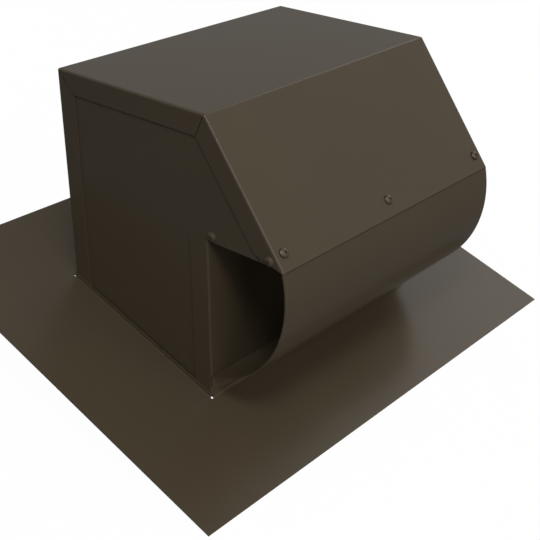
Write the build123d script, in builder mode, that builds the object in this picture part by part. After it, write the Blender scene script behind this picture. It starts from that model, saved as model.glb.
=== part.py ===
from build123d import *
import os
from math import asin, atan2, cos, degrees, floor, radians, sin, tan

os.makedirs("parts", exist_ok=True)

# Roof exhaust vent cap, folded from painted sheet, for a pitched roof.
# Millimetres and degrees. The origin is the middle of the throat, in the plane of the flashing's
# underside. +Z is upright, the hood leans out towards -Y and the roof rises towards +Y.

# Sheet metal
sheet = 1.0
bend_radius = 0.8
lap_gap = 0.1
edge_gap = 0.2

# Body: its height is measured from the front wall's foot, its cheeks' rise from the slope's lower edge
body_width = 266.7
body_depth = 163.0
body_height = 237.5
slope_run = 75.0
slope_drop = 100.0
cheek_rise = 1.3
lap_width = 18.3
lap_relief_rise = 6.5
mitre_gap = 0.6

# Flashing
roof_pitch = 17.7
flashing_width = 457.0
front_margin = 93.6
rear_margin = 90.0
lip_height = 3.0
corner_relief_radius = 1.1

# Curved deflector
deflector_radius = 96.0
deflector_foot_height = 19.0
deflector_top_flange = 26.0
deflector_foot_flange = 10.0
deflector_flange_inset = 5.0

# Screws
screw_head_diameter = 8.0
screw_head_height = 2.7
screw_head_rim = 0.9
screw_shank_diameter = 4.0
screw_length = 5.0
screw_socket_width = 2.6
screw_socket_depth = 1.4
screw_hole_gap = 0.1
front_screw_edge = 9.2
front_screw_rise = 13.3
side_screw_rise = 4.5
rear_screw_reach = 4.0
slope_screw_inset = 7.0

# Bird screen
screen_border = 9.0
screen_flange_height = 10.0
screen_front_gap = 0.6
mesh_pitch = 12.7
mesh_wire = 1.2
mesh_lap = 5.0

# Backdraft damper
seat_width = 12.0
seat_depth = 12.0
gasket_width = 8.0
gasket_height = 3.0
gasket_edge = 2.0
flap_rest_gap = 0.3
flap_side_gap = 3.0
flap_edge_height = 6.0
hinge_pin_diameter = 4.0
hinge_running_gap = 0.05
hinge_end_inset = 11.25
hinge_knuckle_length = 24.0
hinge_knuckle_gap = 0.6
hinge_leaf_height = 22.0
hinge_pin_overhang = 2.0
hinge_pin_chamfer = 0.5

# Places worked out from the driving sizes
pitch = radians(roof_pitch)
lean = atan2(slope_run, slope_drop)
outer_bend = bend_radius + sheet
half_width = body_width / 2
front_y = -body_depth / 2
rear_y = body_depth / 2
foot_z = front_y * tan(pitch) + sheet / cos(pitch)
top_z = foot_z + body_height
slope_foot_y = front_y - slope_run
slope_foot_z = top_z - slope_drop
cheek_z = slope_foot_z + cheek_rise
wall_top_z = cheek_z - edge_gap
panel_x = half_width - sheet - lap_gap
inner_x = panel_x - sheet
overrun = 2 * lap_width

slope_plane = Plane(
    origin=(0, slope_foot_y, slope_foot_z), x_dir=(1, 0, 0), z_dir=(0, -cos(lean), sin(lean))
)
slope_axis = Axis((0, 0, 0), (0, -cos(lean), sin(lean)))
roof_axis = Axis((0, 0, 0), (0, -sin(pitch), cos(pitch)))

front_screw_x = half_width - front_screw_edge
front_screw_points = [(x, front_screw_rise) for x in (-front_screw_x, 0, front_screw_x)]
screw_hole_radius = screw_shank_diameter / 2 + screw_hole_gap


def roof_plane(height):
    """Plane parallel to the flashing, at a height above its underside."""
    return Plane(origin=(0, 0, 0), x_dir=(1, 0, 0), z_dir=(0, -sin(pitch), cos(pitch))).offset(height)


def slope_y(z, inset):
    """Depth of the slope at a height, moved inwards by an inset."""
    return slope_foot_y + (z - slope_foot_z) * tan(lean) + inset / cos(lean)


side_screw_z = cheek_z + side_screw_rise
side_screw_points = [
    (front_y - rear_screw_reach, side_screw_z),
    (slope_y(side_screw_z, slope_screw_inset), side_screw_z),
]


def hood_outline(inset):
    """Side view of rear wall, top and slope, from the rear foot to the slope's lower edge."""
    return [
        (rear_y - inset, foot_z),
        (rear_y - inset, top_z - inset),
        (front_y + inset * (1 - sin(lean)) / cos(lean), top_z - inset),
        (slope_foot_y + inset * cos(lean), slope_foot_z - inset * sin(lean)),
    ]


def open_outline(inset):
    """The same side view with its two open ends run past the sheet."""
    rear_foot, rear_top, front_top, slope_foot = hood_outline(inset)
    return [
        (rear_foot[0], rear_foot[1] - overrun),
        rear_top,
        front_top,
        (slope_foot[0] - overrun * sin(lean), slope_foot[1] - overrun * cos(lean)),
    ]


def folded_block(profile, width, radius):
    """Block with the hood's side view, its bends and side edges rounded as a folded sheet is."""
    with BuildPart() as block:
        with BuildSketch(Plane.YZ.offset(-width / 2)):
            with BuildLine():
                Polyline(*profile, close=True)
            make_face()
        extrude(amount=width)
        walls = [block.faces().sort_by(axis)[-1] for axis in (Axis.Y, Axis.Z, slope_axis)]
        side_edges = [edge for wall in walls for edge in wall.edges().filter_by(Axis.X, reverse=True)]
        cross_bends = block.edges().filter_by(Axis.X).sort_by(Axis.Z)[-2:]
        fillet(side_edges + list(cross_bends), radius)
    return block.part


def panel_outline():
    """Side view of a side panel and its cheek, clear of the bends around it."""
    inset = sheet + bend_radius + edge_gap
    rear_foot, rear_top, front_top, _ = hood_outline(inset)
    front_edge = front_y + inset
    return [
        rear_foot,
        rear_top,
        front_top,
        (slope_y(cheek_z, inset), cheek_z),
        (front_edge, cheek_z),
        (front_edge, foot_z - sheet),
    ]


def side_screw_drill():
    """Cutter for the side screws' holes, across the whole width."""
    with BuildPart() as drill:
        with BuildSketch(Plane.YZ):
            with Locations(*side_screw_points):
                Circle(screw_hole_radius)
        extrude(amount=body_width, both=True)
    return drill.part


def front_screw_drill():
    """Cutter for the slope screws' holes, square to the slope."""
    with BuildPart() as drill:
        with BuildSketch(slope_plane):
            with Locations(*front_screw_points):
                Circle(screw_hole_radius)
        extrude(amount=screw_length, both=True)
    return drill.part


def button_screw():
    """Blunt screw with a domed head and a hexagon socket, its head seated on Z = 0."""
    head_radius = screw_head_diameter / 2
    shank_radius = screw_shank_diameter / 2
    with BuildPart() as screw:
        with BuildSketch(Plane.XZ):
            with BuildLine():
                Polyline(
                    (0, screw_head_height),
                    (0, -screw_length),
                    (shank_radius, -screw_length),
                    (shank_radius, 0),
                    (head_radius, 0),
                    (head_radius, screw_head_rim),
                )
                TangentArc((0, screw_head_height), (head_radius, screw_head_rim), tangent=(1, 0))
            make_face()
        revolve(axis=Axis.Z)
        with BuildSketch(Plane.XY.offset(screw_head_height)):
            RegularPolygon(screw_socket_width / 2, 6, major_radius=False)
        extrude(amount=-screw_socket_depth, mode=Mode.SUBTRACT)
    return screw.part


side_holes = side_screw_drill()
front_holes = front_screw_drill()


# Flashing: pitched sheet with a lip turned up round the throat
hole_width = body_width + 2 * edge_gap
hole_depth = body_depth + 2 * edge_gap
front_end = front_y / cos(pitch) - front_margin
rear_end = rear_y / cos(pitch) + rear_margin
with BuildPart() as flashing:
    with BuildSketch():
        Rectangle(hole_width + 2 * sheet, hole_depth + 2 * sheet)
    extrude(amount=body_depth, both=True)
    split(bisect_by=roof_plane(0), keep=Keep.TOP)
    split(bisect_by=roof_plane(sheet + lip_height), keep=Keep.BOTTOM)
    with BuildSketch(roof_plane(0)):
        with Locations((0, (front_end + rear_end) / 2)):
            Rectangle(flashing_width, rear_end - front_end)
    extrude(amount=sheet)
    with BuildSketch():
        Rectangle(hole_width, hole_depth)
    extrude(amount=body_depth, both=True, mode=Mode.SUBTRACT)
    underside, upper_face = flashing.faces().sort_by(SortBy.AREA)[-2:].sort_by(roof_axis)
    fillet(upper_face.inner_wires()[0].edges(), bend_radius)
    underside = flashing.faces().sort_by(SortBy.AREA)[-2:].sort_by(roof_axis)[0]
    fillet(underside.inner_wires()[0].edges(), outer_bend)
    with BuildSketch():
        with GridLocations(hole_width + sheet, hole_depth + sheet, 2, 2):
            Circle(corner_relief_radius)
    extrude(amount=body_depth, both=True, mode=Mode.SUBTRACT)
flashing.part.label = "flashing"
export_step(flashing.part, "parts/flashing.step")


# Hood wrapper: rear wall, top and slope from one sheet, with mitred lap flanges
relief_z = slope_foot_z + lap_relief_rise
relief_point = (slope_y(relief_z, lap_width), relief_z)
hood_outer = folded_block(
    hood_outline(0) + [hood_outline(sheet)[-1], relief_point], body_width, outer_bend
)
hood_core = folded_block(open_outline(sheet), body_width - 2 * sheet, bend_radius)
with BuildPart() as hood_wrapper:
    add(hood_outer)
    add(hood_core, mode=Mode.SUBTRACT)
    with BuildSketch(Plane.YZ):
        with BuildLine():
            Polyline(*open_outline(lap_width), close=True)
        make_face()
    extrude(amount=body_width, both=True, mode=Mode.SUBTRACT)
    mitre_starts = hood_outline(outer_bend)[1:3]
    mitre_ends = hood_outline(lap_width + mitre_gap)[1:3]
    with BuildSketch(Plane.YZ):
        for start, end in zip(mitre_starts, mitre_ends):
            seam = Vector(*end) - Vector(*start)
            with Locations((Vector(*start) + Vector(*end)) / 2):
                Rectangle(seam.length, mitre_gap, rotation=degrees(atan2(seam.Y, seam.X)))
    extrude(amount=body_width, both=True, mode=Mode.SUBTRACT)
    split(bisect_by=roof_plane(edge_gap), keep=Keep.TOP)
    add(front_holes, mode=Mode.SUBTRACT)
    add(side_holes, mode=Mode.SUBTRACT)
hood_wrapper.part.label = "hood_wrapper"
export_step(hood_wrapper.part, "parts/hood_wrapper.step")


# Side panels: flat sheets behind the lap flanges, each with its cheek
for name, outer_x in (("left_side_panel", -panel_x), ("right_side_panel", inner_x)):
    with BuildPart() as side_panel:
        with BuildSketch(Plane.YZ.offset(outer_x)):
            with BuildLine():
                Polyline(*panel_outline(), close=True)
            make_face()
        extrude(amount=sheet)
        split(bisect_by=roof_plane(edge_gap), keep=Keep.TOP)
        add(side_holes, mode=Mode.SUBTRACT)
    side_panel.part.label = name
    export_step(side_panel.part, f"parts/{name}.step")


# Front wall: throat wall with flanges lapped back over the side panels
with BuildPart() as front_wall:
    with BuildSketch(Plane.XY.offset(foot_z - 2 * sheet)) as wall_section:
        with Locations((0, front_y)):
            Rectangle(body_width, lap_width, align=(Align.CENTER, Align.MIN))
        fillet(wall_section.vertices().group_by(Axis.Y)[0], outer_bend)
        with BuildSketch(mode=Mode.SUBTRACT) as wall_core:
            with Locations((0, front_y + sheet)):
                Rectangle(body_width - 2 * sheet, lap_width, align=(Align.CENTER, Align.MIN))
            fillet(wall_core.vertices().group_by(Axis.Y)[0], bend_radius)
    extrude(amount=wall_top_z - foot_z + 2 * sheet)
    split(bisect_by=roof_plane(edge_gap), keep=Keep.TOP)
front_wall.part.label = "front_wall"
export_step(front_wall.part, "parts/front_wall.step")


# Curved deflector: rolled plate from the slope's lower edge to the front wall's foot
plate_inset = sheet + lap_gap
plate_top = Vector(*hood_outline(plate_inset)[-1])
plate_foot = Vector(front_y - plate_inset, foot_z + deflector_foot_height)
flange_tip = plate_top + Vector(sin(lean), cos(lean)) * deflector_top_flange
chord = plate_foot - plate_top
sagitta = deflector_radius * (1 - cos(asin(chord.length / 2 / deflector_radius)))
bulge = Vector(chord.Y, -chord.X).normalized() * sagitta
with BuildPart() as curved_deflector:
    with BuildSketch(Plane.YZ.offset(-half_width)):
        with BuildLine():
            Line(flange_tip, plate_top)
            ThreePointArc(plate_top, (plate_top + plate_foot) / 2 + bulge, plate_foot)
            Line(plate_foot, plate_foot - Vector(0, deflector_foot_flange))
            offset(amount=sheet, side=Side.LEFT)
        make_face()
    extrude(amount=body_width)
    with BuildSketch(slope_plane.offset(-plate_inset)):
        with GridLocations(body_width, 0, 2, 1):
            Rectangle(
                2 * deflector_flange_inset,
                2 * deflector_top_flange,
                align=(Align.CENTER, Align.MIN),
            )
    extrude(amount=2 * sheet, both=True, mode=Mode.SUBTRACT)
    add(front_holes, mode=Mode.SUBTRACT)
curved_deflector.part.label = "curved_deflector"
export_step(curved_deflector.part, "parts/curved_deflector.step")


# Screen frame: flat border over the overhang's outlet, with a flange up each cheek
frame_x = inner_x - edge_gap
frame_front_y = slope_y(cheek_z + sheet, plate_inset + sheet) + screen_front_gap
frame_rear_y = front_y + sheet
frame_depth = frame_rear_y - frame_front_y
frame_middle_y = (frame_front_y + frame_rear_y) / 2
flange_top_z = cheek_z + screen_flange_height
with BuildPart() as screen_frame:
    with BuildSketch(Plane.XY.offset(cheek_z)):
        with Locations((0, frame_middle_y)):
            Rectangle(2 * frame_x, frame_depth)
            Rectangle(2 * (frame_x - screen_border), frame_depth - 2 * screen_border, mode=Mode.SUBTRACT)
    extrude(amount=sheet)
    with BuildSketch(Plane.YZ.offset(-frame_x)):
        with BuildLine():
            Polyline(
                (frame_front_y, cheek_z),
                (frame_front_y + screen_flange_height * tan(lean), flange_top_z),
                (frame_rear_y, flange_top_z),
                (frame_rear_y, cheek_z),
                close=True,
            )
        make_face()
    extrude(amount=sheet)
    mirror(about=Plane.YZ)
    lower_edges = screen_frame.edges().filter_by(Axis.Y).group_by(Axis.Z)[0].sort_by(Axis.X)
    fillet([lower_edges[0], lower_edges[-1]], bend_radius)
    add(side_holes, mode=Mode.SUBTRACT)
screen_frame.part.label = "screen_frame"
export_step(screen_frame.part, "parts/screen_frame.step")


# Bird screen: square wire mesh, cut so that its wire ends lap onto the frame's border
mesh_width = 2 * (frame_x - screen_border + mesh_lap)
mesh_depth = frame_depth - 2 * (screen_border - mesh_lap)
mesh_columns = floor((mesh_width - mesh_wire) / mesh_pitch) + 1
mesh_rows = floor((mesh_depth - mesh_wire) / mesh_pitch) + 1
with BuildPart() as bird_screen:
    with BuildSketch(Plane.XY.offset(cheek_z + sheet)):
        with Locations((0, frame_middle_y)):
            with GridLocations(mesh_pitch, 0, mesh_columns, 1):
                Rectangle(mesh_wire, mesh_depth)
            with GridLocations(0, mesh_pitch, 1, mesh_rows):
                Rectangle(mesh_width, mesh_wire)
    extrude(amount=mesh_wire)
bird_screen.part.label = "bird_screen"
export_step(bird_screen.part, "parts/bird_screen.step")


# Damper seat: angle frame round the top of the throat
seat_x = inner_x - edge_gap
seat_front_y = front_y + sheet + edge_gap
seat_rear_y = rear_y - sheet - edge_gap
seat_middle = (0, (seat_front_y + seat_rear_y) / 2)
seat_size = Vector(2 * seat_x, seat_rear_y - seat_front_y)


def seat_rectangle(inset, mode=Mode.ADD):
    """Rectangle of the seat's plan, moved inwards by an inset."""
    with Locations(seat_middle):
        Rectangle(seat_size.X - 2 * inset, seat_size.Y - 2 * inset, mode=mode)


with BuildPart() as damper_seat:
    with BuildSketch(Plane.XY.offset(wall_top_z)):
        seat_rectangle(0)
    extrude(amount=-seat_depth)
    fillet(damper_seat.faces().sort_by(Axis.Z)[-1].edges(), outer_bend)
    with BuildSketch(Plane.XY.offset(wall_top_z - sheet)):
        seat_rectangle(sheet)
    extrude(amount=-seat_depth, mode=Mode.SUBTRACT)
    with BuildSketch(Plane.XY.offset(wall_top_z)):
        seat_rectangle(seat_width)
    extrude(amount=-seat_depth, mode=Mode.SUBTRACT)
damper_seat.part.label = "damper_seat"
export_step(damper_seat.part, "parts/damper_seat.step")


# Damper gasket: foam strip on the seat
with BuildPart() as damper_gasket:
    with BuildSketch(Plane.XY.offset(wall_top_z)):
        seat_rectangle(gasket_edge)
        seat_rectangle(gasket_edge + gasket_width, mode=Mode.SUBTRACT)
    extrude(amount=gasket_height)
damper_gasket.part.label = "damper_gasket"
export_step(damper_gasket.part, "parts/damper_gasket.step")


# Damper hinge: knuckles of the fixed leaf and of the flap take turns along one pin
pin_radius = hinge_pin_diameter / 2
bore_radius = pin_radius + hinge_running_gap
knuckle_radius = bore_radius + sheet
flap_z = wall_top_z + gasket_height + flap_rest_gap
hinge_y = rear_y - sheet - lap_gap - knuckle_radius
hinge_z = flap_z + knuckle_radius
hinge_length = 2 * (inner_x - hinge_end_inset)
knuckle_pitch = (hinge_length - hinge_knuckle_length) / 2
leaf_knuckles = [-knuckle_pitch, 0, knuckle_pitch]
flap_knuckles = [-knuckle_pitch / 2, knuckle_pitch / 2]
flap_knuckle_length = knuckle_pitch - hinge_knuckle_length - 2 * hinge_knuckle_gap
notch_reach = knuckle_radius + hinge_knuckle_gap
notch_length = hinge_knuckle_length + 2 * hinge_knuckle_gap


def hinge_barrels(centres, length, radius):
    """Round bars on the hinge line, one at each centre."""
    with BuildPart() as barrels:
        for centre in centres:
            with BuildSketch(Plane.YZ.offset(centre - length / 2)):
                with Locations((hinge_y, hinge_z)):
                    Circle(radius)
            extrude(amount=length)
    return barrels.part


flap_barrels = hinge_barrels(flap_knuckles, flap_knuckle_length, knuckle_radius)
leaf_barrels = hinge_barrels(leaf_knuckles, hinge_knuckle_length, knuckle_radius)
hinge_bore = hinge_barrels([0], body_width, bore_radius)


# Damper flap: tray with three turned-up edges, hinged at the rear
flap_width = 2 * (inner_x - flap_side_gap)
flap_front_y = front_y + sheet + flap_side_gap
flap_depth = hinge_y - flap_front_y
flap_edge_depth = flap_depth - notch_reach
with BuildPart() as damper_flap:
    with BuildSketch(Plane.XY.offset(flap_z)):
        with Locations((0, flap_front_y)):
            Rectangle(flap_width, flap_edge_depth, align=(Align.CENTER, Align.MIN))
    extrude(amount=flap_edge_height)
    lower_face = damper_flap.faces().sort_by(Axis.Z)[0]
    fillet(lower_face.edges().sort_by(Axis.Y)[:-1], outer_bend)
    with BuildSketch(Plane.XY.offset(flap_z + sheet)):
        with Locations((0, flap_front_y + sheet)):
            Rectangle(flap_width - 2 * sheet, flap_depth, align=(Align.CENTER, Align.MIN))
    extrude(amount=flap_edge_height, mode=Mode.SUBTRACT)
    for centre in flap_knuckles:
        with BuildSketch(Plane.XY.offset(flap_z)):
            with Locations((centre, hinge_y)):
                Rectangle(flap_knuckle_length, 2 * notch_reach, align=(Align.CENTER, Align.MAX))
        extrude(amount=sheet)
    add(flap_barrels)
    add(hinge_bore, mode=Mode.SUBTRACT)
damper_flap.part.label = "damper_flap"
export_step(damper_flap.part, "parts/damper_flap.step")


# Hinge leaf: strip on the rear wall, notched where the flap's knuckles turn
leaf_y = hinge_y + knuckle_radius
with BuildPart() as damper_hinge_leaf:
    with BuildSketch(Plane.XY.offset(hinge_z)):
        with Locations((0, leaf_y)):
            Rectangle(hinge_length, sheet, align=(Align.CENTER, Align.MAX))
    extrude(amount=hinge_leaf_height)
    with BuildSketch(Plane.XY.offset(hinge_z)):
        with Locations(*[(centre, leaf_y) for centre in flap_knuckles]):
            Rectangle(knuckle_pitch - hinge_knuckle_length, 2 * sheet)
    extrude(amount=notch_reach, mode=Mode.SUBTRACT)
    add(leaf_barrels)
    add(hinge_bore, mode=Mode.SUBTRACT)
damper_hinge_leaf.part.label = "damper_hinge_leaf"
export_step(damper_hinge_leaf.part, "parts/damper_hinge_leaf.step")


# Hinge pin: runs through every knuckle
pin_length = hinge_length + 2 * hinge_pin_overhang
with BuildPart() as damper_hinge_pin:
    with BuildSketch(Plane.YZ.offset(-pin_length / 2)):
        with Locations((hinge_y, hinge_z)):
            Circle(pin_radius)
    extrude(amount=pin_length)
    chamfer(damper_hinge_pin.edges().filter_by(GeomType.CIRCLE), hinge_pin_chamfer)
damper_hinge_pin.part.label = "damper_hinge_pin"
export_step(damper_hinge_pin.part, "parts/damper_hinge_pin.step")


# Screws: three on the slope, two on each cheek
screw = button_screw()
with BuildPart() as front_screws:
    with Locations(slope_plane):
        with Locations(*front_screw_points):
            add(screw)
front_screws.part.label = "front_screws"
export_step(front_screws.part, "parts/front_screws.step")

# The rear screw of each pair seats on the panel, the front one on the slope's lap flange
side_screw_seats = (panel_x, half_width)
with BuildPart() as side_screws:
    for side in (-1, 1):
        for seat, (y, z) in zip(side_screw_seats, side_screw_points):
            with Locations(Plane(origin=(side * seat, y, z), z_dir=(side, 0, 0))):
                add(screw)
side_screws.part.label = "side_screws"
export_step(side_screws.part, "parts/side_screws.step")
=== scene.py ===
"""Looks of a folded sheet roof exhaust vent cap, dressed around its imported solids."""

import logging
import math
from dataclasses import dataclass, field
from enum import Enum
from functools import reduce
from typing import Any, Optional, Union

import bmesh
import bpy
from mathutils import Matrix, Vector


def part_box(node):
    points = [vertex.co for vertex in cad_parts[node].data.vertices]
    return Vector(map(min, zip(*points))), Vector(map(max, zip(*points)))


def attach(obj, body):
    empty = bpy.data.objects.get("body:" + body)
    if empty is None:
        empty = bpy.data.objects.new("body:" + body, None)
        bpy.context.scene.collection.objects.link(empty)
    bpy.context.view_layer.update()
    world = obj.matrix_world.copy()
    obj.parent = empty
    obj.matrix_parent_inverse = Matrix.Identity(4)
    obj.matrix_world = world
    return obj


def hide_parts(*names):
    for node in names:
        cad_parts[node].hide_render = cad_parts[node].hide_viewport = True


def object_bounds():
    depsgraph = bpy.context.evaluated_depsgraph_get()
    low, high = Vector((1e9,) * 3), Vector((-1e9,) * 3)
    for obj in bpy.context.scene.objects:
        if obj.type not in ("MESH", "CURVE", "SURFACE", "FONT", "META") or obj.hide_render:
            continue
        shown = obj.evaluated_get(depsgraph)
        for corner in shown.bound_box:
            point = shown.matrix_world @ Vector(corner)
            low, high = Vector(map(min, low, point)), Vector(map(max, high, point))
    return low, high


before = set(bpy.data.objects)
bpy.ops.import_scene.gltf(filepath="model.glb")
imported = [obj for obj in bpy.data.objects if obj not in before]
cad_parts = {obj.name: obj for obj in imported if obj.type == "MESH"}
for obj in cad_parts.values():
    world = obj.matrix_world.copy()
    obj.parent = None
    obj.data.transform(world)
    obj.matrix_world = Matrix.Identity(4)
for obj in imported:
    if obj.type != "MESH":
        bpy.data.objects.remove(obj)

CAD_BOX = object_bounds()
LOG = logging.getLogger("vent_cap")

# Sockets of a Mix node that mixes colours, by number, because its names repeat
MIX_FACTOR, MIX_COLOUR_A, MIX_COLOUR_B = 0, 6, 7
MIX_COLOUR_RESULT = 2

WHITE = (1.0, 1.0, 1.0, 1.0)

# Linear colours, numbers along X, Y and Z, and Y and Z as seen from the part's side
Colour = tuple[float, float, float]
Triple = tuple[float, float, float]
SidePoint = tuple[float, float]
Number = Union[float, "Signal"]
Tint = Union[Colour, "Signal"]


class Coat(Enum):
    """Finishes of the cap, by their materials' names."""

    BRONZE_PAINT = "bronze_paint"
    DEFLECTOR_PAINT = "deflector_paint"
    PANEL_PAINT = "panel_paint"
    BRONZE_SCREW = "bronze_screw"
    SLOPE_SCREW = "slope_screw"
    ZINC_SHEET = "zinc_sheet"
    ZINC_WIRE = "zinc_wire"
    BRIGHT_STEEL = "bright_steel"
    FOAM_SEAL = "foam_seal"


class Ray(Enum):
    """Kinds of ray that see the white background."""

    CAMERA = "Is Camera Ray"
    GLOSSY = "Is Glossy Ray"
    TRANSMISSION = "Is Transmission Ray"


class Run(Enum):
    """Direction of a wire, as the number of its axis."""

    ALONG = 0
    ACROSS = 1


Dressing = dict[bpy.types.Object, Coat]
Materials = dict[Coat, bpy.types.Material]


class Signal:
    """One output socket of a node, with arithmetic that adds Math nodes."""

    def __init__(self, recipe: "Recipe", socket: Optional[bpy.types.NodeSocket]) -> None:
        """Keeps the socket, which an end node lacks, and the recipe that it belongs to."""
        self.recipe = recipe
        self.socket = socket

    def math(self, operation: str, first: Number, second: Number) -> "Signal":
        """Adds one Math node.

        Args:
            operation: Blender's name of the operation.
            first: first number or signal.
            second: second number or signal.

        Returns:
            The node's result.
        """
        return self.recipe.node("ShaderNodeMath", 0, {"operation": operation}, {0: first, 1: second})

    def __add__(self, other: Number) -> "Signal":
        """Sum of this signal and another."""
        return self.math("ADD", self, other)

    def __radd__(self, other: Number) -> "Signal":
        """Sum of a number and this signal."""
        return self.math("ADD", other, self)

    def __sub__(self, other: Number) -> "Signal":
        """This signal less another."""
        return self.math("SUBTRACT", self, other)

    def __rsub__(self, other: Number) -> "Signal":
        """A number less this signal."""
        return self.math("SUBTRACT", other, self)

    def __mul__(self, other: Number) -> "Signal":
        """Product of this signal and another."""
        return self.math("MULTIPLY", self, other)

    def __rmul__(self, other: Number) -> "Signal":
        """Product of a number and this signal."""
        return self.math("MULTIPLY", other, self)

    def __abs__(self) -> "Signal":
        """This signal without its sign."""
        return self.math("ABSOLUTE", self, 0.0)

    def least(self, other: Number) -> "Signal":
        """The smaller of this signal and another."""
        return self.math("MINIMUM", self, other)


class Recipe:
    """Node tree of one material or of the world."""

    def __init__(self, tree: bpy.types.NodeTree) -> None:
        """Takes over a tree and empties it."""
        self.tree = tree
        tree.nodes.clear()

    def node(
        self,
        kind: str,
        output: Union[str, int] = 0,
        settings: Optional[dict[str, Any]] = None,
        sockets: Optional[dict[Union[str, int], Any]] = None,
    ) -> Signal:
        """Adds a node.

        Args:
            kind: Blender's name of the node's type.
            output: the output that is wanted, by name or number.
            settings: properties of the node, set first.
            sockets: values or signals for its inputs.

        Returns:
            The wanted output.
        """
        made = self.tree.nodes.new(kind)
        for name, value in (settings or {}).items():
            setattr(made, name, value)
        for key, value in (sockets or {}).items():
            if isinstance(value, Signal):
                self.tree.links.new(value.socket, made.inputs[key])
            else:
                made.inputs[key].default_value = value
        return Signal(self, made.outputs[output] if made.outputs else None)

    def place(self) -> Signal:
        """Place of a surface point in the part's frame, in metres."""
        return self.node("ShaderNodeTexCoord", "Object")

    def noise(self, place: Signal, size: float, detail: float = 2.0) -> Signal:
        """Soft noise from 0 to 1.

        Args:
            place: where on the surface.
            size: width of its blotches, in metres.
            detail: how many finer layers it has.

        Returns:
            The noise's value.
        """
        sockets = {"Vector": place, "Scale": 1 / size, "Detail": detail}
        return self.node("ShaderNodeTexNoise", sockets=sockets)

    def cells(self, place: Signal, size: float, output: str) -> Signal:
        """Pattern of cells.

        Args:
            place: where on the surface.
            size: width of a cell, in metres.
            output: the pattern's output that is wanted.

        Returns:
            That output.
        """
        return self.node("ShaderNodeTexVoronoi", output, sockets={"Vector": place, "Scale": 1 / size})

    def stretch(self, place: Signal, factors: Triple) -> Signal:
        """Place with each of its directions multiplied."""
        return self.node("ShaderNodeVectorMath", 0, {"operation": "MULTIPLY"}, {0: place, 1: factors})

    def blend(self, share: Signal, first: Tint, second: Tint) -> Signal:
        """Colour between two colours.

        Args:
            share: 0 or less for the first colour, 1 or more for the second.
            first: linear colour or signal.
            second: linear colour or signal.

        Returns:
            The mixed colour.
        """
        ends = [tint if isinstance(tint, Signal) else (*tint, 1) for tint in (first, second)]
        sockets = {MIX_FACTOR: share, MIX_COLOUR_A: ends[0], MIX_COLOUR_B: ends[1]}
        return self.node("ShaderNodeMix", MIX_COLOUR_RESULT, {"data_type": "RGBA"}, sockets)

    def bump(self, height: Signal, distance: float) -> Signal:
        """Normal tilted by a height.

        Args:
            height: height from 0 to 1.
            distance: height of 1, in metres.

        Returns:
            The normal.
        """
        return self.node("ShaderNodeBump", sockets={"Height": height, "Distance": distance})


def shade(colour: Colour, factor: float) -> Colour:
    """Colour made darker or lighter by one factor."""
    return tuple(min(1.0, part * factor) for part in colour)


@dataclass(frozen=True)
class Finish:
    """What every finish has: its coat, its colour and how far its tone and gloss vary."""

    coat: Coat
    colour: Colour
    tone_range: float
    roughness: float
    roughness_range: float

    def surface(self, recipe: Recipe) -> dict[str, Any]:
        """Values and signals for the surface shader.

        Args:
            recipe: where the nodes go.

        Returns:
            Socket name to value.
        """
        raise NotImplementedError

    def varied(self, recipe: Recipe, share: Signal) -> dict[str, Signal]:
        """Colour and gloss that follow one pattern.

        Args:
            recipe: where the nodes go.
            share: the pattern, from 0 to 1.

        Returns:
            The two sockets' signals.
        """
        low, high = shade(self.colour, 1 - self.tone_range), shade(self.colour, 1 + self.tone_range)
        return {
            "Base Color": recipe.blend(share, low, high),
            "Roughness": share * self.roughness_range + (self.roughness - self.roughness_range / 2),
        }

    def material(self) -> bpy.types.Material:
        """Makes the finish's material.

        Returns:
            The material, named for its coat.
        """
        made = bpy.data.materials.new(self.coat.value)
        made.use_nodes = True
        recipe = Recipe(made.node_tree)
        surface = recipe.node("ShaderNodeBsdfPrincipled", sockets=self.surface(recipe))
        recipe.node("ShaderNodeOutputMaterial", sockets={"Surface": surface})
        return made


@dataclass(frozen=True)
class SatinPaint(Finish):
    """Powder coat: soft clouds of tone, a fine peel and an even satin gloss."""

    tone_range: float = 0.05
    roughness: float = 0.26
    roughness_range: float = 0.05
    specular: float = 0.5
    cloud_size: float = 0.07
    cloud_detail: float = 4.0
    peel_size: float = 0.0016
    peel_height: float = 0.00004

    def surface(self, recipe: Recipe) -> dict[str, Any]:
        """Paint's colour, gloss and peel.

        Args:
            recipe: where the nodes go.

        Returns:
            Socket name to value.
        """
        place = recipe.place()
        clouds = recipe.noise(place, self.cloud_size, self.cloud_detail)
        peel = recipe.noise(place, self.peel_size)
        return {
            **self.varied(recipe, clouds),
            "Specular IOR Level": self.specular,
            "Normal": recipe.bump(peel, self.peel_height),
        }


@dataclass(frozen=True)
class Crevice:
    """Straight crevice where one piece lies on another, seen from the part's side, next to which paint gets
    painted shade.

    Both fields hold Y and Z: a point of the crevice, and the unit direction across it.
    """

    point: SidePoint
    across: SidePoint

    def distance(self, y: Signal, z: Signal) -> Signal:
        """How far a surface point at Y and Z lies from the crevice, in metres."""
        offset = self.point[0] * self.across[0] + self.point[1] * self.across[1]
        return abs(y * self.across[0] + z * self.across[1] - offset)


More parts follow.
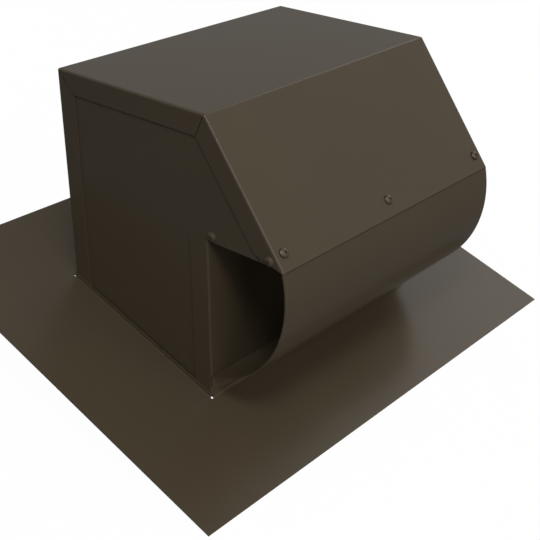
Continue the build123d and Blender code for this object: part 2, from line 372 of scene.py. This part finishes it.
@dataclass(frozen=True)
class SatinPaintWithPaintedShade(SatinPaint):
    """Powder coat with painted shade: its colour turns dark towards the crevices in which its piece meets
    others, where shade falls.
    """

    crevices: tuple[Crevice, ...] = field(kw_only=True)
    # Width of the painted shade from a crevice, in metres, and the tone at the crevice as a share of the
    # paint's colour
    painted_shade_width: float = 0.0009
    painted_shade_tone: float = 0.3

    def surface(self, recipe: Recipe) -> dict[str, Any]:
        """Paint with painted shade along its crevices.

        Args:
            recipe: where the nodes go.

        Returns:
            Socket name to value.
        """
        painted = super().surface(recipe)
        place = recipe.place()
        y = recipe.node("ShaderNodeSeparateXYZ", "Y", sockets={0: place})
        z = recipe.node("ShaderNodeSeparateXYZ", "Z", sockets={0: place})
        nearest = reduce(Signal.least, [crevice.distance(y, z) for crevice in self.crevices])
        # Painted shade: the paint's colour goes dark towards the nearest crevice, within the painted shade
        # width
        painted_shade_colour = shade(self.colour, self.painted_shade_tone)
        unshaded_share = nearest * (1 / self.painted_shade_width)
        painted["Base Color"] = recipe.blend(unshaded_share, painted_shade_colour, painted["Base Color"])
        return painted


@dataclass(frozen=True)
class ZincCoat(Finish):
    """Zinc coat: flat crystals, each with its own tone and gloss, under a fine grain."""

    tone_range: float = 0.12
    roughness: float = 0.42
    roughness_range: float = 0.16
    spangle_size: float = 0.011
    grain_size: float = 0.0009
    grain_height: float = 0.00002

    def surface(self, recipe: Recipe) -> dict[str, Any]:
        """Spangle's colour and gloss, and the grain's relief.

        Args:
            recipe: where the nodes go.

        Returns:
            Socket name to value.
        """
        place = recipe.place()
        cells = recipe.cells(place, self.spangle_size, "Color")
        crystal = recipe.node("ShaderNodeSeparateColor", "Red", sockets={"Color": cells})
        grain = recipe.noise(place, self.grain_size)
        return {
            **self.varied(recipe, crystal),
            "Metallic": 1.0,
            "Normal": recipe.bump(grain, self.grain_height),
        }


@dataclass(frozen=True)
class DrawnSteel(Finish):
    """Bright drawn rod with fine lines along its length."""

    tone_range: float = 0.1
    roughness: float = 0.28
    roughness_range: float = 0.12
    line_size: float = 0.0004
    line_stretch: float = 60.0
    line_height: float = 0.00001

    def surface(self, recipe: Recipe) -> dict[str, Any]:
        """Lines' colour, gloss and relief.

        Args:
            recipe: where the nodes go.

        Returns:
            Socket name to value.
        """
        along = recipe.stretch(recipe.place(), (1 / self.line_stretch, 1, 1))
        lines = recipe.noise(along, self.line_size)
        return {
            **self.varied(recipe, lines),
            "Metallic": 1.0,
            "Normal": recipe.bump(lines, self.line_height),
        }


@dataclass(frozen=True)
class SoftFoam(Finish):
    """Closed cell foam with small open pores on its skin."""

    tone_range: float = 0.35
    roughness: float = 0.9
    roughness_range: float = 0.1
    specular: float = 0.25
    pore_size: float = 0.0011
    pore_height: float = 0.00028

    def surface(self, recipe: Recipe) -> dict[str, Any]:
        """Pores' colour, gloss and relief.

        Args:
            recipe: where the nodes go.

        Returns:
            Socket name to value.
        """
        skin = 1 - recipe.cells(recipe.place(), self.pore_size, "Distance")
        return {
            **self.varied(recipe, skin),
            "Specular IOR Level": self.specular,
            "Normal": recipe.bump(skin, self.pore_height),
        }


@dataclass
class FinishSet:
    """All finishes of the cap: their colours, and what sets a finish apart from others of its kind."""

    bronze: Colour = (0.0645, 0.049, 0.0302)
    # Width of the painted shadow lines on the side panels along the flanges' edges, in metres
    panel_painted_shade_width: float = 0.0013
    screw_peel: float = 0.0008
    side_screw_tone: float = 0.9
    side_screw_roughness: float = 0.5
    # Slope screws: the same screw paint made lighter as a painted highlight, and a painted shadow darkening
    # each head towards the slope
    slope_screw_painted_highlight_tone: float = 1.15
    slope_screw_roughness: float = 0.42
    slope_screw_painted_shade_width: float = 0.0024
    slope_screw_painted_shade_tone: float = 0.08
    zinc: Colour = (0.56, 0.57, 0.58)
    wire: Colour = (0.5, 0.51, 0.52)
    wire_spangle: float = 0.004
    steel: Colour = (0.64, 0.64, 0.65)
    foam: Colour = (0.028, 0.028, 0.03)

    def screw_paints(self, hood: "Hood") -> list[Finish]:
        """Paints of the screws' heads, with a finer peel than the sheets; the slope screws' paint is a
        lighter copy, a painted highlight, with painted shadow round their heads' feet.

        Args:
            hood: the hood, on whose slope the front screws sit.

        Returns:
            Paint of the side screws, and of the screws on the slope.
        """
        side = SatinPaint(
            Coat.BRONZE_SCREW,
            shade(self.bronze, self.side_screw_tone),
            roughness=self.side_screw_roughness,
            peel_size=self.screw_peel,
        )
        # Lighter copy of the screw paint as a painted highlight, with painted shadow round the heads' feet
        slope = SatinPaintWithPaintedShade(
            Coat.SLOPE_SCREW,
            shade(self.bronze, self.slope_screw_painted_highlight_tone),
            roughness=self.slope_screw_roughness,
            peel_size=self.screw_peel,
            crevices=hood.screw_crevices(),
            painted_shade_width=self.slope_screw_painted_shade_width,
            painted_shade_tone=self.slope_screw_painted_shade_tone,
        )
        return [side, slope]

    def panel_paint(self, hood: "Hood") -> Finish:
        """Paint of the side panels, with painted shadow lines along the hood's flanges."""
        crevices = hood.panel_crevices()
        return SatinPaintWithPaintedShade(
            Coat.PANEL_PAINT, self.bronze, crevices=crevices, painted_shade_width=self.panel_painted_shade_width
        )

    def materials(self, hood: "Hood") -> Materials:
        """Makes one material for each coat.

        Args:
            hood: the hood, along whose edges other pieces have crevices with painted shade.

        Returns:
            Material of each coat.
        """
        finishes = [
            SatinPaint(Coat.BRONZE_PAINT, self.bronze),
            # The deflector's paint has a painted shadow line under the slope's lower edge
            SatinPaintWithPaintedShade(Coat.DEFLECTOR_PAINT, self.bronze, crevices=hood.deflector_crevices()),
            self.panel_paint(hood),
            *self.screw_paints(hood),
            ZincCoat(Coat.ZINC_SHEET, self.zinc),
            ZincCoat(Coat.ZINC_WIRE, self.wire, spangle_size=self.wire_spangle),
            DrawnSteel(Coat.BRIGHT_STEEL, self.steel),
            SoftFoam(Coat.FOAM_SEAL, self.foam),
        ]
        return {finish.coat: finish.material() for finish in finishes}


@dataclass
class SubAssembly:
    """Pieces of the cap that are made and dressed together."""

    title: str

    def solids(self, names: list[str], coat: Coat) -> Dressing:
        """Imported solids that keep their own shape.

        Args:
            names: the solids' names.
            coat: the finish that they take.

        Returns:
            Each solid with its finish.
        """
        return {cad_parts[name]: coat for name in names}

    def build(self) -> Dressing:
        """Makes the pieces, and gives each piece's finish."""
        raise NotImplementedError

    def dress(self, materials: Materials) -> list[str]:
        """Builds the pieces and gives each its material.

        Args:
            materials: material of each coat.

        Returns:
            Names of the pieces.
        """
        dressing = self.build()
        for piece, coat in dressing.items():
            piece.data.materials.clear()
            piece.data.materials.append(materials[coat])
        return [piece.name for piece in dressing]


@dataclass
class RoofFlashing(SubAssembly):
    """Pitched sheet that lies on the roof, with a lip round the throat."""

    title: str = "roof flashing"

    def build(self) -> Dressing:
        """The flashing's sheet."""
        return self.solids(["flashing"], Coat.BRONZE_PAINT)


@dataclass
class Hood(SubAssembly):
    """Folded hood, its side panels, front wall and curved deflector, and their screws.

    Its sizes, in metres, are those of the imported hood.
    """

    title: str = "hood"
    slope_run: float = 0.075
    slope_drop: float = 0.1
    lap_width: float = 0.0183

    def slope_foot(self) -> SidePoint:
        """Y and Z of the slope's lower edge."""
        low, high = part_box("hood_wrapper")
        return low.y, high.z - self.slope_drop

    def down_slope(self) -> SidePoint:
        """Unit direction down the slope, as Y and Z."""
        length = math.hypot(self.slope_run, self.slope_drop)
        return -self.slope_run / length, -self.slope_drop / length

    def into_hood(self) -> SidePoint:
        """Unit direction square to the slope, into the hood, as Y and Z."""
        down_y, down_z = self.down_slope()
        return -down_z, down_y

    def screw_crevices(self) -> tuple[Crevice, ...]:
        """The slope's face, on which the front screws' heads sit; their paint gets painted shadow towards
        it.
        """
        return (Crevice(self.slope_foot(), self.into_hood()),)

    def deflector_crevices(self) -> tuple[Crevice, ...]:
        """The slope's lower edge, which lies on the deflector and along which the deflector's paint gets a
        painted shadow line.
        """
        return (Crevice(self.slope_foot(), self.down_slope()),)

    def panel_crevices(self) -> tuple[Crevice, ...]:
        """Edges of the top and slope flanges, which lie on the side panels and along which the panels' paint
        gets painted shadow lines.

        Returns:
            The top flange's edge and the slope flange's edge.
        """
        _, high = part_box("hood_wrapper")
        (foot_y, foot_z), inward = self.slope_foot(), self.into_hood()
        slope_point = (foot_y + inward[0] * self.lap_width, foot_z + inward[1] * self.lap_width)
        top_point = (high.y, high.z - self.lap_width)
        return Crevice(top_point, (0.0, -1.0)), Crevice(slope_point, inward)

    def build(self) -> Dressing:
        """Painted sheets and screws.

        Returns:
            Each piece with its finish.
        """
        panels = ["left_side_panel", "right_side_panel"]
        return {
            **self.solids(["hood_wrapper", "front_wall"], Coat.BRONZE_PAINT),
            **self.solids(panels, Coat.PANEL_PAINT),
            **self.solids(["curved_deflector"], Coat.DEFLECTOR_PAINT),
            **self.solids(["front_screws"], Coat.SLOPE_SCREW),
            **self.solids(["side_screws"], Coat.BRONZE_SCREW),
        }


@dataclass
class BirdScreen(SubAssembly):
    """Painted frame under the overhang with a welded wire mesh on it. Sizes are in metres."""

    title: str = "bird screen"
    mesh_name: str = "bird_screen_wires"
    wire_diameter: float = 0.0012
    pitch: float = 0.0127
    weld_sink: float = 0.0003
    end_bevel: float = 0.0003
    wire_sides: int = 12

    def spread(self, run: Run) -> list[float]:
        """Places of the wires that run one way, at the pitch about the screen's middle.

        Args:
            run: the wires' direction.

        Returns:
            Each wire's place on the other axis, in order.
        """
        low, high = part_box("bird_screen")
        other = 1 - run.value
        count = math.floor((high[other] - low[other] - self.wire_diameter) / self.pitch) + 1
        middle = ((low + high) / 2)[other]
        return [middle + (step - (count - 1) / 2) * self.pitch for step in range(count)]

    def ring(
        self, mesh: bmesh.types.BMesh, run: Run, middle: Vector, radius: float
    ) -> list[bmesh.types.BMVert]:
        """Adds one ring of points round a wire.

        Args:
            mesh: where the points go.
            run: the wire's direction.
            middle: the ring's middle.
            radius: the ring's radius, in metres.

        Returns:
            The ring's points, in order.
        """
        points = []
        for step in range(self.wire_sides):
            turn = 2 * math.pi * step / self.wire_sides
            point = middle.copy()
            point[1 - run.value] += radius * math.cos(turn)
            point.z += radius * math.sin(turn)
            points.append(mesh.verts.new(point))
        return points

    def wire(self, mesh: bmesh.types.BMesh, run: Run, start: Vector, length: float) -> None:
        """Adds one round wire with its cut ends bevelled.

        Args:
            mesh: where its faces go.
            run: its direction.
            start: middle of its first end.
            length: its length, in metres.
        """
        radius = self.wire_diameter / 2
        small = radius - self.end_bevel
        stations = [(0, small), (self.end_bevel, radius), (length - self.end_bevel, radius), (length, small)]
        rings = []
        for reach, ring_radius in stations:
            middle = start.copy()
            middle[run.value] += reach
            rings.append(self.ring(mesh, run, middle, ring_radius))
        for near, far in zip(rings, rings[1:]):
            for step in range(self.wire_sides):
                side = mesh.faces.new((near[step - 1], near[step], far[step], far[step - 1]))
                side.smooth = True
        mesh.faces.new(rings[0])
        mesh.faces.new(rings[-1])

    def wire_mesh(self) -> bpy.types.Object:
        """Welded mesh: long wires on the frame's border, short ones welded across them.

        Returns:
            The mesh, which stands for the flat screen.
        """
        low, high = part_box("bird_screen")
        lower = low.z + self.wire_diameter / 2
        upper = lower + self.wire_diameter - self.weld_sink
        mesh = bmesh.new()
        for y in self.spread(Run.ALONG):
            self.wire(mesh, Run.ALONG, Vector((low.x, y, lower)), high.x - low.x)
        for x in self.spread(Run.ACROSS):
            self.wire(mesh, Run.ACROSS, Vector((x, low.y, upper)), high.y - low.y)
        bmesh.ops.recalc_face_normals(mesh, faces=mesh.faces)
        data = bpy.data.meshes.new(self.mesh_name)
        mesh.to_mesh(data)
        mesh.free()
        wires = bpy.data.objects.new(self.mesh_name, data)
        bpy.context.scene.collection.objects.link(wires)
        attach(wires, "housing")
        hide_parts("bird_screen")
        return wires

    def build(self) -> Dressing:
        """Frame and wire mesh."""
        return {
            **self.solids(["screen_frame"], Coat.BRONZE_PAINT),
            self.wire_mesh(): Coat.ZINC_WIRE,
        }


@dataclass
class BackdraftDamper(SubAssembly):
    """Seat, foam gasket and hinged flap over the throat."""

    title: str = "backdraft damper"

    def build(self) -> Dressing:
        """Zinc sheets, gasket and hinge pin.

        Returns:
            Each piece with its finish.
        """
        sheets = ["damper_seat", "damper_flap", "damper_hinge_leaf"]
        return {
            **self.solids(sheets, Coat.ZINC_SHEET),
            **self.solids(["damper_gasket"], Coat.FOAM_SEAL),
            **self.solids(["damper_hinge_pin"], Coat.BRIGHT_STEEL),
        }


@dataclass(frozen=True)
class Softbox:
    """Square softbox that faces the middle of the part, with its size and distance in metres.

    Its level is the brightness of a white matt surface that faces it. A fill isn't mirrored by gloss.
    """

    name: str
    direction: Triple
    level: float
    size: float
    distance: float = 1.7
    mirrored: bool = True

    def build(self) -> None:
        """Hangs the softbox."""
        lamp = bpy.data.lights.new(self.name, "AREA")
        lamp.shape = "SQUARE"
        lamp.size = self.size
        lamp.energy = self.level * (math.pi * self.distance) ** 2
        holder = bpy.data.objects.new(self.name, lamp)
        bpy.context.scene.collection.objects.link(holder)
        towards = Vector(self.direction).normalized()
        holder.location = (CAD_BOX[0] + CAD_BOX[1]) / 2 + towards * self.distance
        holder.rotation_euler = (-towards).to_track_quat("-Z", "Y").to_euler()
        holder.visible_glossy = self.mirrored


@dataclass
class Studio:
    """White floor, soft light and the camera.

    Lengths are in metres and angles in degrees, but the lens and the sensor are in millimetres.
    """

    softboxes: tuple[Softbox, ...] = (
        Softbox("main_softbox", (-0.45, -0.43, 0.78), level=0.39, size=0.42),
        Softbox("front_softbox", (-0.1, -0.92, 0.38), level=0.25, size=2.2, distance=2.6),
        Softbox("front_fill", (-0.1, -0.92, 0.38), level=0.42, size=2.2, distance=2.6, mirrored=False),
        Softbox("left_fill", (-0.85, -0.5, 0.15), level=0.135, size=1.4, distance=2.6, mirrored=False),
        Softbox("top_fill", (0.0, 0.1, 1.0), level=0.06, size=1.0, mirrored=False),
        Softbox("right_fill", (0.95, -0.1, 0.3), level=0.4, size=1.2, mirrored=False),
        Softbox("rear_fill", (0.0, 0.97, 0.25), level=0.4, size=1.2, mirrored=False),
        Softbox("right_softbox", (0.91, 0.08, 0.41), level=0.077, size=1.0),
        Softbox("ridge_softbox", (0.66, -0.22, 0.72), level=0.044, size=0.4),
    )
    sky_light: float = 0.01
    sky_mirrored: float = 0.26
    floor_half: float = 8.0
    floor_drop: float = 0.0004
    floor_seen: Colour = (1.0, 1.0, 1.0)
    floor_bounced: Colour = (0.12, 0.12, 0.12)
    floor_white: float = 0.98
    floor_mirrored: float = 0.02
    camera_place: Triple = (-0.63248, -0.59039, 0.46515)
    camera_azimuth: float = -48.1814
    camera_elevation: float = 27.8198
    lens: float = 71.344
    sensor: float = 36.0

    def whiteness(self, recipe: Recipe, seen: float, mirrored: float) -> Signal:
        """Share of plain white that a ray sees.

        Args:
            recipe: where the nodes go.
            seen: share for rays from the eye, straight or through glass.
            mirrored: share for rays off a glossy surface.

        Returns:
            The share, by the kind of ray.
        """
        straight = recipe.node("ShaderNodeLightPath", Ray.CAMERA.value)
        through = recipe.node("ShaderNodeLightPath", Ray.TRANSMISSION.value)
        off_gloss = recipe.node("ShaderNodeLightPath", Ray.GLOSSY.value)
        return (straight + through) * seen + off_gloss * mirrored

    def build_world(self) -> None:
        """Plain sky: white to the eye, dimmer as a light."""
        world = bpy.data.worlds.new("sky")
        world.use_nodes = True
        recipe = Recipe(world.node_tree)
        white = self.whiteness(recipe, 1.0, self.sky_mirrored)
        light = recipe.node("ShaderNodeBackground", sockets={"Color": WHITE, "Strength": self.sky_light})
        paper = recipe.node("ShaderNodeBackground", sockets={"Color": WHITE, "Strength": 1.0})
        mixed = recipe.node("ShaderNodeMixShader", sockets={0: white, 1: light, 2: paper})
        recipe.node("ShaderNodeOutputWorld", sockets={"Surface": mixed})
        bpy.context.scene.world = world

    def floor_material(self) -> bpy.types.Material:
        """Matt floor that looks white and keeps a little of the part's shadow.

        Returns:
            The floor's material.
        """
        material = bpy.data.materials.new("floor")
        material.use_nodes = True
        recipe = Recipe(material.node_tree)
        white = self.whiteness(recipe, self.floor_white, self.floor_mirrored)
        straight = recipe.node("ShaderNodeLightPath", Ray.CAMERA.value)
        colour = recipe.blend(straight, self.floor_bounced, self.floor_seen)
        matt = recipe.node("ShaderNodeBsdfDiffuse", sockets={"Color": colour})
        paper = recipe.node("ShaderNodeEmission", sockets={"Color": WHITE, "Strength": 1.0})
        mixed = recipe.node("ShaderNodeMixShader", sockets={0: white, 1: matt, 2: paper})
        recipe.node("ShaderNodeOutputMaterial", sockets={"Surface": mixed})
        return material

    def build_floor(self) -> None:
        """Level floor just under the flashing's lower edge."""
        low = CAD_BOX[0].z - self.floor_drop
        half = self.floor_half
        corners = [(x, y, low) for x, y in ((-half, -half), (half, -half), (half, half), (-half, half))]
        mesh = bpy.data.meshes.new("floor")
        mesh.from_pydata(corners, [], [(0, 1, 2, 3)])
        mesh.materials.append(self.floor_material())
        floor = bpy.data.objects.new("floor", mesh)
        bpy.context.scene.collection.objects.link(floor)

    def build_camera(self) -> None:
        """Camera at the photograph's place and angle."""
        data = bpy.data.cameras.new("camera")
        data.lens = self.lens
        data.sensor_width = self.sensor
        camera = bpy.data.objects.new("camera", data)
        bpy.context.scene.collection.objects.link(camera)
        turn, rise = math.radians(self.camera_azimuth), math.radians(self.camera_elevation)
        back = Vector((math.sin(turn) * math.cos(rise), -math.cos(turn) * math.cos(rise), math.sin(rise)))
        camera.location = self.camera_place
        camera.rotation_euler = (-back).to_track_quat("-Z", "Y").to_euler()
        bpy.context.scene.camera = camera

    def build(self) -> None:
        """Builds the whole studio."""
        self.build_world()
        self.build_floor()
        for softbox in self.softboxes:
            softbox.build()
        self.build_camera()
        bpy.context.scene.view_settings.view_transform = "Standard"


def main() -> None:
    """Builds the cap's sub-assemblies and the studio, and reports each piece."""
    logging.basicConfig(level=logging.INFO, format="%(name)s: %(message)s")
    hood = Hood()
    materials = FinishSet().materials(hood)
    for assembly in (RoofFlashing(), hood, BirdScreen(), BackdraftDamper()):
        for name in assembly.dress(materials):
            LOG.info("%s: %s", assembly.title, name)
    Studio().build()


if __name__ == "__main__":
    main()
